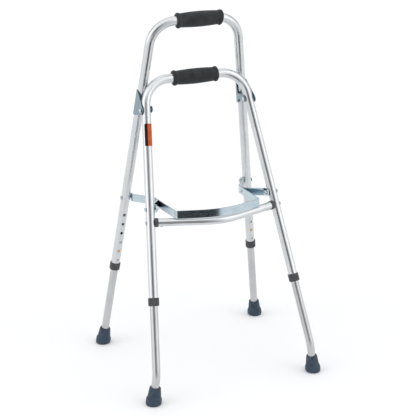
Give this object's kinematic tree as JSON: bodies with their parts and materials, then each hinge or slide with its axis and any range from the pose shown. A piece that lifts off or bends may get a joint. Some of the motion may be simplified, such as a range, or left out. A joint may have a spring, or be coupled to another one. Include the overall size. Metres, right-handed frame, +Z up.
{
  "type": "walking frame",
  "caption": "Folding walking frame of two bent tube frames that pivot in side brackets, with a foam handle on each, a locking strap and height-adjustable legs.",
  "frame": {"origin": "on the floor, at the middle of the object's outline", "axes": "+Z up, +Y towards the tall frame, +X to the right when the low frame is nearest"},
  "size_m": [0.4778, 0.3956, 0.8807],
  "materials": {
    "aluminium": "satin clear anodised",
    "leg_aluminium": "drawn, lightly anodised",
    "zinc": "bright zinc plated, bluish",
    "steel": "zinc plated",
    "brass": "satin",
    "foam": "closed-cell foam, matte",
    "plastic": "matte, finely ribbed",
    "rubber": "matte blue-grey",
    "label": "printed film, half black"
  },
  "bodies": {
    "tall_frame": {"tall_frame_tube": "aluminium", "tall_grip": "foam", "hinge_bracket_left": "zinc", "hinge_rivet_left": "steel", "bracket_rivet_left_lower": "steel", "bracket_rivet_left_upper": "steel", "collar_tall_left": "plastic", "strap_bolt_left": "steel", "strap_nut_left": "steel", "hinge_bracket_right": "zinc", "hinge_rivet_right": "steel", "bracket_rivet_right_lower": "steel", "bracket_rivet_right_upper": "steel", "collar_tall_right": "plastic", "strap_bolt_right": "steel", "strap_nut_right": "steel"},
    "low_frame": {"low_frame_tube": "aluminium", "low_grip": "foam", "crossbar_tube": "aluminium", "crossbar_plug_left": "plastic", "crossbar_rivet_left": "steel", "crossbar_pin_left": "steel", "collar_low_left": "plastic", "link_bolt_left": "steel", "crossbar_plug_right": "plastic", "crossbar_rivet_right": "steel", "crossbar_pin_right": "steel", "collar_low_right": "plastic", "link_bolt_right": "steel", "label": "label"},
    "strap": {"locking_strap": "zinc", "link_rivet_left": "steel", "link_rivet_right": "steel"},
    "link_left": {"folding_link_left": "zinc", "link_nut_left": "steel"},
    "link_right": {"folding_link_right": "zinc", "link_nut_right": "steel"},
    "leg_tall_left": {"leg_extension_tall_left": "leg_aluminium", "spring_clip_tall_left": "steel", "rubber_tip_tall_left": "rubber", "tip_washer_tall_left": "steel"},
    "button_tall_left": {"snap_button_tall_left": "brass"},
    "leg_tall_right": {"leg_extension_tall_right": "leg_aluminium", "spring_clip_tall_right": "steel", "rubber_tip_tall_right": "rubber", "tip_washer_tall_right": "steel"},
    "button_tall_right": {"snap_button_tall_right": "brass"},
    "leg_low_left": {"leg_extension_low_left": "leg_aluminium", "spring_clip_low_left": "steel", "rubber_tip_low_left": "rubber", "tip_washer_low_left": "steel"},
    "button_low_left": {"snap_button_low_left": "brass"},
    "leg_low_right": {"leg_extension_low_right": "leg_aluminium", "spring_clip_low_right": "steel", "rubber_tip_low_right": "rubber", "tip_washer_low_right": "steel"},
    "button_low_right": {"snap_button_low_right": "brass"}
  },
  "joints": [
    {"name": "fold", "type": "hinge", "parent": "tall_frame", "child": "low_frame", "pos_m": [0, 0.05159, 0.657], "axis": [1, 0, 0], "range_deg": [0, 28]},
    {"name": "strap_fold", "type": "hinge", "parent": "tall_frame", "child": "strap", "pos_m": [0, 0.12512, 0.416], "axis": [1, 0, 0], "range_deg": [-68.2, 0]},
    {"name": "link_fold_left", "type": "hinge", "parent": "strap", "child": "link_left", "pos_m": [0, 0.0398, 0.421], "axis": [1, 0, 0], "range_deg": [0, 156.1]},
    {"name": "link_fold_right", "type": "hinge", "parent": "strap", "child": "link_right", "pos_m": [0, 0.0398, 0.421], "axis": [1, 0, 0], "range_deg": [0, 156.1]},
    {"name": "height_tall_left", "type": "slide", "parent": "tall_frame", "child": "leg_tall_left", "axis": [0.1275, -0.1279, 0.9836], "range_m": [-0.0254, 0.1016], "deforming": ["snap_button_tall_left"]},
    {"name": "button_tall_left", "type": "slide", "parent": "leg_tall_left", "child": "button_tall_left", "axis": [0.0164, 0.9918, 0.1268], "range_m": [0, 0.003], "stiffness_N_per_m": 900, "springref_m": -0.0005, "deforming": ["spring_clip_tall_left"]},
    {"name": "height_tall_right", "type": "slide", "parent": "tall_frame", "child": "leg_tall_right", "axis": [-0.1275, -0.1279, 0.9836], "range_m": [-0.0254, 0.1016], "deforming": ["snap_button_tall_right"]},
    {"name": "button_tall_right", "type": "slide", "parent": "leg_tall_right", "child": "button_tall_right", "axis": [-0.0164, 0.9918, 0.1268], "range_m": [0, 0.003], "stiffness_N_per_m": 900, "springref_m": -0.0005, "deforming": ["spring_clip_tall_right"]},
    {"name": "height_low_left", "type": "slide", "parent": "low_frame", "child": "leg_low_left", "axis": [0.1119, 0.3647, 0.9244], "range_m": [-0.0254, 0.1016], "deforming": ["snap_button_low_left"]},
    {"name": "button_low_left", "type": "slide", "parent": "leg_low_left", "child": "button_low_left", "axis": [0.0438, -0.9311, 0.362], "range_m": [0, 0.003], "stiffness_N_per_m": 900, "springref_m": -0.0005, "deforming": ["spring_clip_low_left"]},
    {"name": "height_low_right", "type": "slide", "parent": "low_frame", "child": "leg_low_right", "axis": [-0.1119, 0.3647, 0.9244], "range_m": [-0.0254, 0.1016], "deforming": ["snap_button_low_right"]},
    {"name": "button_low_right", "type": "slide", "parent": "leg_low_right", "child": "button_low_right", "axis": [-0.0438, -0.9311, 0.362], "range_m": [0, 0.003], "stiffness_N_per_m": 900, "springref_m": -0.0005, "deforming": ["spring_clip_low_right"]}
  ],
  "couplings": [
    {"joint": "strap_fold", "follows": "fold", "ratio": -2.4303},
    {"joint": "link_fold_left", "follows": "fold", "ratio": 5.569},
    {"joint": "link_fold_right", "follows": "fold", "ratio": 5.569}
  ]
}
